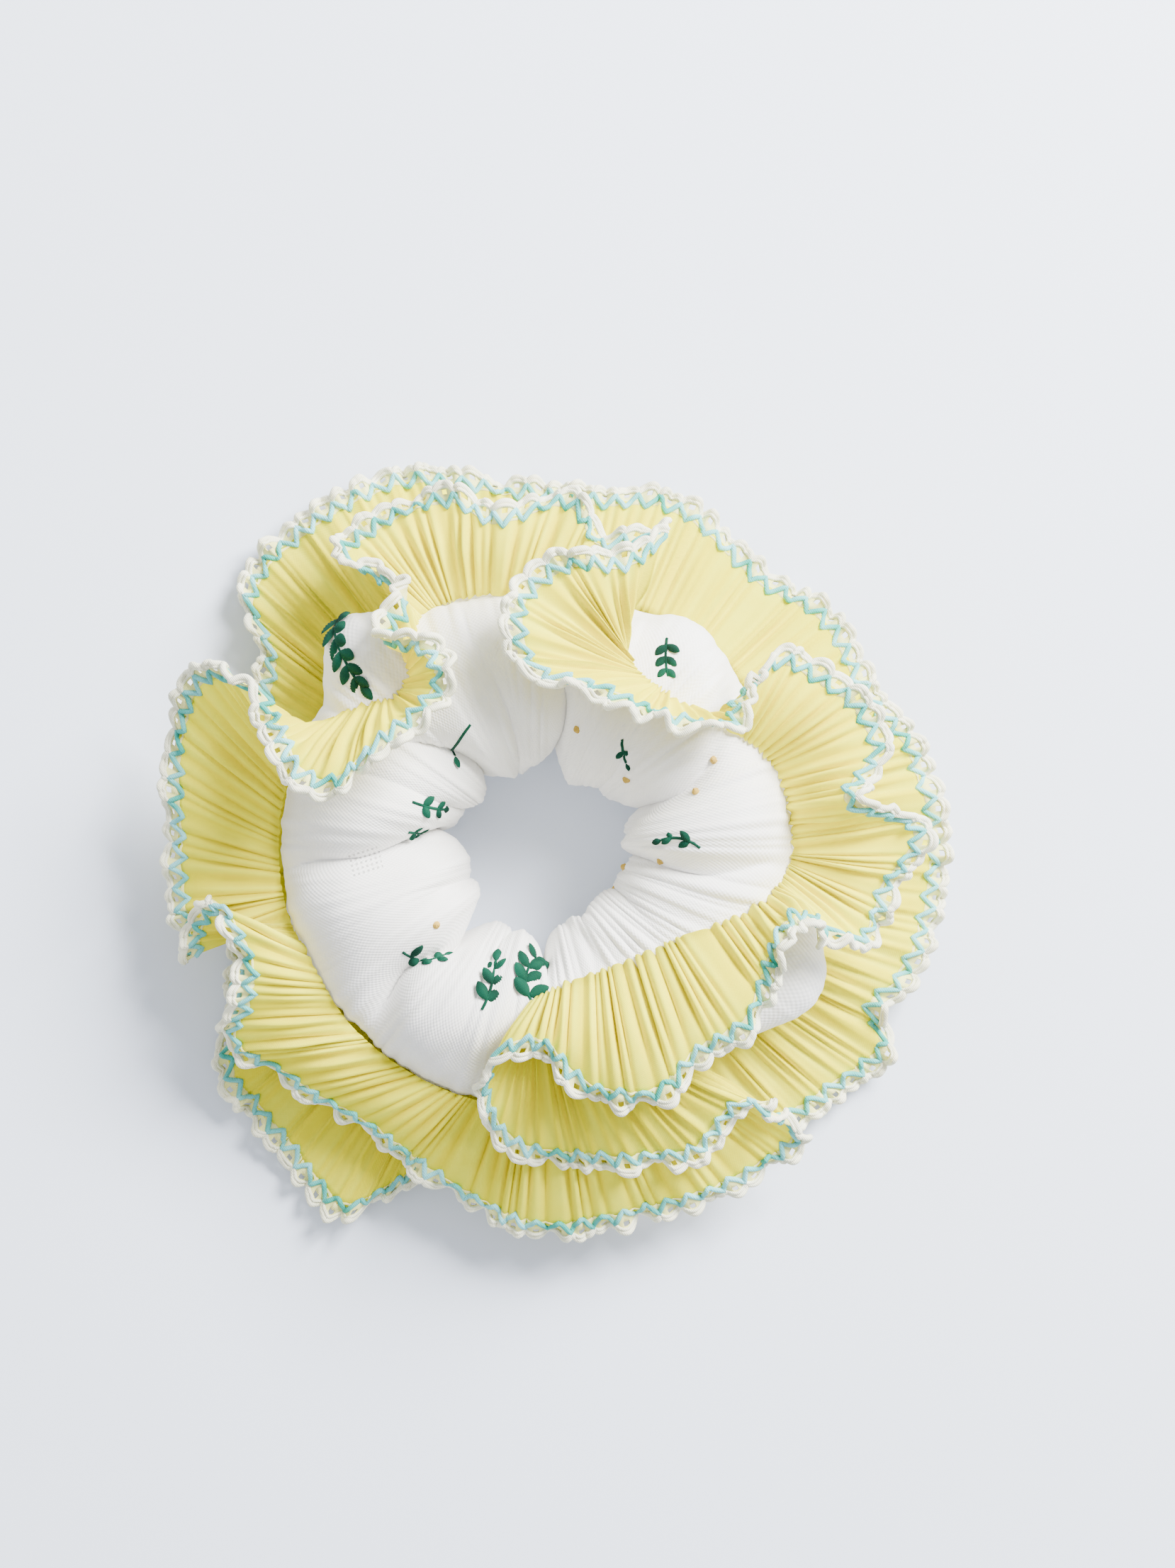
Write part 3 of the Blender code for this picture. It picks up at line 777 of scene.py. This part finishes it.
def voile_look(name="pleated yellow voile"):
    look = Look(name, 0.9, Specular_IOR_Level=0.08, Subsurface_Weight=0.5)
    look.shader.inputs["Subsurface Radius"].default_value = (1.0, 0.85, 0.25)
    look.shader.inputs["Subsurface Scale"].default_value = 1.6 * MM
    height, mottle = threads(look, 0.5 * MM, 0.5 * MM, uv=True)
    # Painted light and shade on the pleats: ridges take the light voile colour and valleys the deep one as
    # painted shade. The deep colour is then mixed in at random as mottle.
    painted_pleat_light = look.node("ShaderNodeAttribute", attribute_name="painted_pleat_light").outputs["Fac"]
    share = look.node("ShaderNodeMath", (0, painted_pleat_light), (1, 1.4), operation="POWER").outputs[0]
    cloth = look.mix(share, colours().voile_shade_and_mottle, colours().voile)
    look.colour(look.mix(mottle, cloth, colours().voile_shade_and_mottle))
    look.bump(height, 0.3, 0.06 * MM)
    return look.material


def thread_look(name, light, deep, pitch, roughness=0.8):
    look = Look(name, roughness, Specular_IOR_Level=0.15)
    height, mottle = threads(look, pitch, 1.3 * pitch)
    steps = look.node("ShaderNodeMapRange", ("Value", mottle), ("From Min", 0.35), ("From Max", 0.65))
    look.colour(look.mix(steps.outputs[0], deep, light))
    look.bump(height, 0.5, 0.1 * MM)
    return look.material


def lace_look():
    light, deep = tinted(colours().lace, 1.06), tinted(colours().lace, 0.9)
    return once("cream lace cotton", lambda name: thread_look(name, light, deep, 0.4 * MM))


def ground_look():
    ground = tuple(0.5 * (a + b) for a, b in zip(colours().lace, colours().voile))
    return once("lace ground", lambda name: thread_look(name, ground, tinted(ground, 0.85), 0.3 * MM))


def aqua_look():
    # Painted shade: the teal is the thread in shade, mixed with the lit aqua in random patches by noise.
    return once("aqua hem thread", lambda name: thread_look(name, colours().aqua, colours().aqua_in_shade, 0.45 * MM))


# Pieces


def rides_as(piece, slot, *nodes):
    """Attaches a finished cloth piece to the cloth body and hides the parts it stands for; the slot is not
    used.
    """
    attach(piece, "cloth")
    if nodes:
        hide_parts(*nodes)
    return piece


def make_tier_pieces(name, tier):
    """A tier's voile, lace and zigzag thread."""
    size = sizes()
    edge = size.edging_width
    pleats = round(tier.length / size.pleat_pitch)
    columns = PLEAT_POINTS * pleats
    voile_rows = np.linspace(0, 1, VOILE_ROWS) ** 0.85  # a little closer at the hem
    # Each point's place on its pleat goes onto the mesh for the voile's painted light on ridges and painted
    # shade in valleys.
    points, _, painted_pleat_light = tier.grid(columns, voile_rows)
    uv = (tier.length / columns, VOILE_WIDTH / (VOILE_ROWS - 1))
    mesh = grid_mesh(f"{name}_voile", points, uv=uv, values=painted_pleat_light)
    look = once("pleated yellow voile", voile_look)
    ruffle = thickened(add(f"{name}_voile", mesh, look), size.voile_thickness)

    scallops = round(tier.length / size.scallop_pitch)
    count = scallops * SCALLOP_POINTS
    offsets = np.array([-edge - 0.6 * MM, -edge + 0.2 * MM, 0.0])  # inside the hem, at it, and at the tips
    rail, normal, _ = tier.grid(count, offsets, from_tip=True)
    run = np.arange(count) / SCALLOP_POINTS
    hem = rail[:, 1]
    lift = normal[:, 1] * np.where(normal[:, 1, 2:3] < 0, -1, 1)
    angles = [tau * n / count for n in range(count)]
    turned = [noise.noise((FRILL_RATE * cos(a), FRILL_RATE * sin(a), tier.seed)) for a in angles]
    outward = unit(unit(rail[:, 2] - rail[:, 1]) + size.frill * np.array(turned)[:, None] * lift)
    facts = {"outward": outward, "lift": lift, "run": run}

    def cord(label, look, **values):
        return grown(label, guide(label, hem, True, **facts), hem_cord_tree(), material=look, **values)

    wave = np.abs(np.sin(pi * run)) ** SCALLOP_ROUNDNESS
    shares = np.linspace(0, 1, 5)
    reach = GROUND_BACK + GROUND_REACH + GROUND_WAVE * wave
    band = hem[:, None] + outward[:, None] * (reach[:, None] * shares - GROUND_BACK)[..., None]

    def keep(i, j):
        spot = i % SCALLOP_POINTS
        return ~((j == SLIT_ROW) & (spot >= SLIT_POINTS[0]) & (spot <= SLIT_POINTS[1]))

    ground = add(f"{name}_ground", grid_mesh("ground", band, keep=keep), ground_look())
    ground = thickened(ground, GROUND_THICKNESS)
    look = lace_look()
    outer = cord(f"{name}_outer", look, base=2.3 * MM, reach=1.6 * MM, roundness=1.0, radius=size.cord_radius,
                 sides=8, lift=0.0, lumps=tau * 4, lump_size=0.22)
    inner = cord(f"{name}_inner", look, base=1.9 * MM, reach=1.1 * MM, roundness=1.0, radius=0.36 * MM,
                 sides=6, lift=0.3 * MM, lumps=tau * 5, lump_size=0.3)
    lace = joined(f"{name}_lace_edging", [outer, inner, ground])
    zigzag = cord(f"{name}_zigzag", aqua_look(), base=2.0 * MM, reach=-3.1 * MM, roundness=0.12,
                  radius=size.zigzag_radius, sides=7, lift=0.25 * MM)
    rides_as(ruffle, "yellow_voile", f"{name}_ruffle")
    rides_as(lace, "lace_cotton", f"{name}_lace")
    rides_as(zigzag, "aqua_thread", f"{name}_hem_thread")


class SCRUNCHIE_OT_stage(bpy.types.Operator):
    """Make the table, the lights and the camera"""

    bl_idname = "scrunchie.stage"
    bl_label = "Table, lights and camera"

    def execute(self, context):
        sides = (-TABLE_HALF, TABLE_HALF)
        corners = np.array([[[x, y, 0] for y in sides] for x in sides], float)
        look = Look("pale table", 0.6)
        mottle = look.node("ShaderNodeTexNoise", ("Scale", 6.0))
        look.links.new(look.node("ShaderNodeTexCoord").outputs["Object"], mottle.inputs["Vector"])
        look.colour(look.mix(mottle.outputs[0], tinted(colours().table, 0.98), tinted(colours().table, 1.02)))
        add("table", grid_mesh("table", corners, closed=False), look.material)
        for name, spot, width, power in LIGHTS:
            light = bpy.data.lights.new(name, "AREA")
            light.size, light.energy = width, power
            lamp = bpy.data.objects.new(name, light)
            lamp.location = spot
            lamp.rotation_euler = Vector(spot).to_track_quat("Z", "Y").to_euler()
            context.scene.collection.objects.link(lamp)
        world = context.scene.world or bpy.data.worlds.new("room")
        context.scene.world = world
        world.use_nodes = True
        background = world.node_tree.nodes["Background"].inputs
        background["Color"].default_value = (*ROOM_COLOUR, 1)
        background["Strength"].default_value = 1.0
        camera = bpy.data.cameras.new("camera")
        camera.sensor_fit = "HORIZONTAL"
        camera.lens = camera.sensor_width * CAMERA_HEIGHT / VIEW_WIDTH
        eye = bpy.data.objects.new("camera", camera)
        eye.location = (VIEW_CENTRE[0], VIEW_CENTRE[1], CAMERA_HEIGHT)
        context.scene.collection.objects.link(eye)
        context.scene.camera = eye
        return {"FINISHED"}


class SCRUNCHIE_OT_cover(bpy.types.Operator):
    """Make the gathered cotton tube"""

    bl_idname = "scrunchie.cover"
    bl_label = "Gathered cotton tube"

    def execute(self, context):
        size = sizes()
        around = np.arange(size.cover_columns) / size.cover_columns * tau
        section = SEAM_SECTION + np.linspace(SEAM_LIP, tau - SEAM_LIP, size.cover_rows)
        grid_around, grid_section = np.meshgrid(around, section, indexing="ij")
        points = tube_points(grid_around, grid_section, cover_height(grid_around, grid_section))
        turn_in = tube_points(grid_around[:, [0, -1]], grid_section[:, [0, -1]], -TURN_IN)
        points = np.concatenate([turn_in[:, :1], points, turn_in[:, 1:]], axis=1)
        uv = (tau * RING_RADIUS / len(around) * GATHER_FULLNESS, COVER_FLAT[0] / len(section))
        mesh = grid_mesh("gathered_cover", points, uv=uv)
        look = once("gathered white cotton", cotton_look)
        cover = thickened(add("gathered_cover", mesh, look), size.cotton_thickness)
        rides_as(cover, "white_cotton", "cover")
        return {"FINISHED"}


class SCRUNCHIE_OT_ruffles(bpy.types.Operator):
    """Make both tiers of pleated voile, with their lace and zigzag threads"""

    bl_idname = "scrunchie.ruffles"
    bl_label = "Ruffles and lace"

    def execute(self, context):
        make_tier_pieces("upper", upper_tier())
        make_tier_pieces("lower", lower_tier())
        return {"FINISHED"}


class SCRUNCHIE_OT_sprigs(bpy.types.Operator):
    """Work the leaf sprigs in satin stitch on the cotton"""

    bl_idname = "scrunchie.sprigs"
    bl_label = "Leaf sprigs"

    def execute(self, context):
        light, deep = tinted(colours().green, 1.5), tinted(colours().green, 0.5)
        look = once("green satin thread", lambda name: thread_look(name, light, deep, 0.25 * MM))
        for number, sprig in enumerate(SPRIGS, 1):
            piece = make_sprig(f"satin_sprig_{number}", look, *sprig)
            rides_as(piece, "green_thread", f"leaf_sprig_{number}")
        return {"FINISHED"}


def make_sprig(name, look, around, section, turn, length, pairs, bend):
    """A stem that bends a little, with pairs of leaves and one at its tip."""
    around, section, turn = radians(around), radians(section), radians(turn)

    def spot(x, y, height):
        across, along = x * cos(turn) - y * sin(turn), x * sin(turn) + y * cos(turn)
        ring = RING_RADIUS + TUBE_HALF_WIDTH * cos(section)
        return cover_spot(around + across / ring, section + along / TUBE_HALF_WIDTH, height)

    def bent(share):
        return length * MM * (share - 0.5), bend * length * MM * (share - 0.5) ** 2

    stem = [spot(*bent(share), STEM_OFF_COTTON) for share in np.linspace(0, 1, 14)]
    still = np.zeros((len(stem), 3))
    line = guide(name, [point for point, _ in stem], False, outward=still, lift=still, run=still[:, 0])
    stalk = grown(name, line, hem_cord_tree(), radius=STEM_RADIUS, sides=6, material=look)
    leaves = []
    leaf = sizes().leaf_length * (length / 8) ** 0.8
    for n in range(pairs):
        place = (n + 0.6) / (pairs + 0.2)
        for side in (-1, 1):
            x, y = bent(place)
            foot, up = spot(x, y, LEAF_OFF_COTTON)
            ahead, _ = spot(x + 0.8 * MM, y + side * 0.9 * MM, LEAF_OFF_COTTON)
            leaves.append((foot, up, unit(ahead - foot), leaf * (1.1 - 0.35 * place)))
    foot, up = stem[-1]
    leaves.append((foot, up, unit(foot - stem[-2][0]), leaf * 0.8))
    feet, ups, headings, scales = (np.array(column) for column in zip(*leaves))
    points = guide(name, feet, False, outward=headings, lift=ups, run=scales)
    return joined(name, [stalk, grown(f"{name}_leaves", points, leaf_tree(), material=look)])


class SCRUNCHIE_OT_knots(bpy.types.Operator):
    """Work the single round knots on the cotton"""

    bl_idname = "scrunchie.knots"
    bl_label = "Blossom knots"

    def execute(self, context):
        light, deep = tinted(colours().ochre, 1.2), colours().ochre
        look = once("ochre thread", lambda name: thread_look(name, light, deep, 0.25 * MM))
        for number, (around, section) in enumerate(KNOTS, 1):
            foot, up = cover_spot(radians(around), radians(section), KNOT_OFF_COTTON)
            name = f"thread_knot_{number}"
            piece = grown(name, guide(name, [foot], False, lift=np.array([up])), knot_tree(), material=look)
            rides_as(piece, "ochre_thread", f"blossom_knot_{number}")
        return {"FINISHED"}


class SCRUNCHIE_OT_inner(bpy.types.Operator):
    """Give the elastic and the sewing threads their materials"""

    bl_idname = "scrunchie.inner"
    bl_label = "Elastic and sewing threads"

    def execute(self, context):
        white = thread_look("white sewing thread", *SEWING_THREAD, 0.3 * MM)
        braid = thread_look("braided elastic", *ELASTIC_BRAID, 0.8 * MM)
        for node, look in (("elastic_band", braid), ("elastic_join_thread", white),
                           ("seam_needle_thread", white), ("seam_bobbin_thread", white)):
            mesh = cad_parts[node].data
            mesh.materials.clear()
            mesh.materials.append(look)
        return {"FINISHED"}


class SCRUNCHIE_PT_sidebar(bpy.types.Panel):
    bl_idname = "SCRUNCHIE_PT_sidebar"
    bl_label = "Ruffled scrunchie"
    bl_space_type = "VIEW_3D"
    bl_region_type = "UI"
    bl_category = "Scrunchie"

    def draw(self, context):
        for operator in OPERATORS:
            self.layout.operator(operator.bl_idname)
        for group in (context.scene.scrunchie_sizes, context.scene.scrunchie_colours):
            for name in group.__annotations__:
                self.layout.prop(group, name)


OPERATORS = (SCRUNCHIE_OT_stage, SCRUNCHIE_OT_inner, SCRUNCHIE_OT_cover, SCRUNCHIE_OT_ruffles,
             SCRUNCHIE_OT_sprigs, SCRUNCHIE_OT_knots)
CLASSES = (ScrunchieSizes, ScrunchieColours, *OPERATORS, SCRUNCHIE_PT_sidebar)


def register():
    for item in CLASSES:
        bpy.utils.register_class(item)
    bpy.types.Scene.scrunchie_sizes = PointerProperty(type=ScrunchieSizes)
    bpy.types.Scene.scrunchie_colours = PointerProperty(type=ScrunchieColours)


def unregister():
    del bpy.types.Scene.scrunchie_colours
    del bpy.types.Scene.scrunchie_sizes
    for item in reversed(CLASSES):
        bpy.utils.unregister_class(item)


def main():
    register()
    bpy.ops.scrunchie.stage()
    bpy.ops.scrunchie.inner()
    bpy.ops.scrunchie.cover()
    bpy.ops.scrunchie.ruffles()
    bpy.ops.scrunchie.sprigs()
    bpy.ops.scrunchie.knots()


if __name__ == "__main__":
    main()
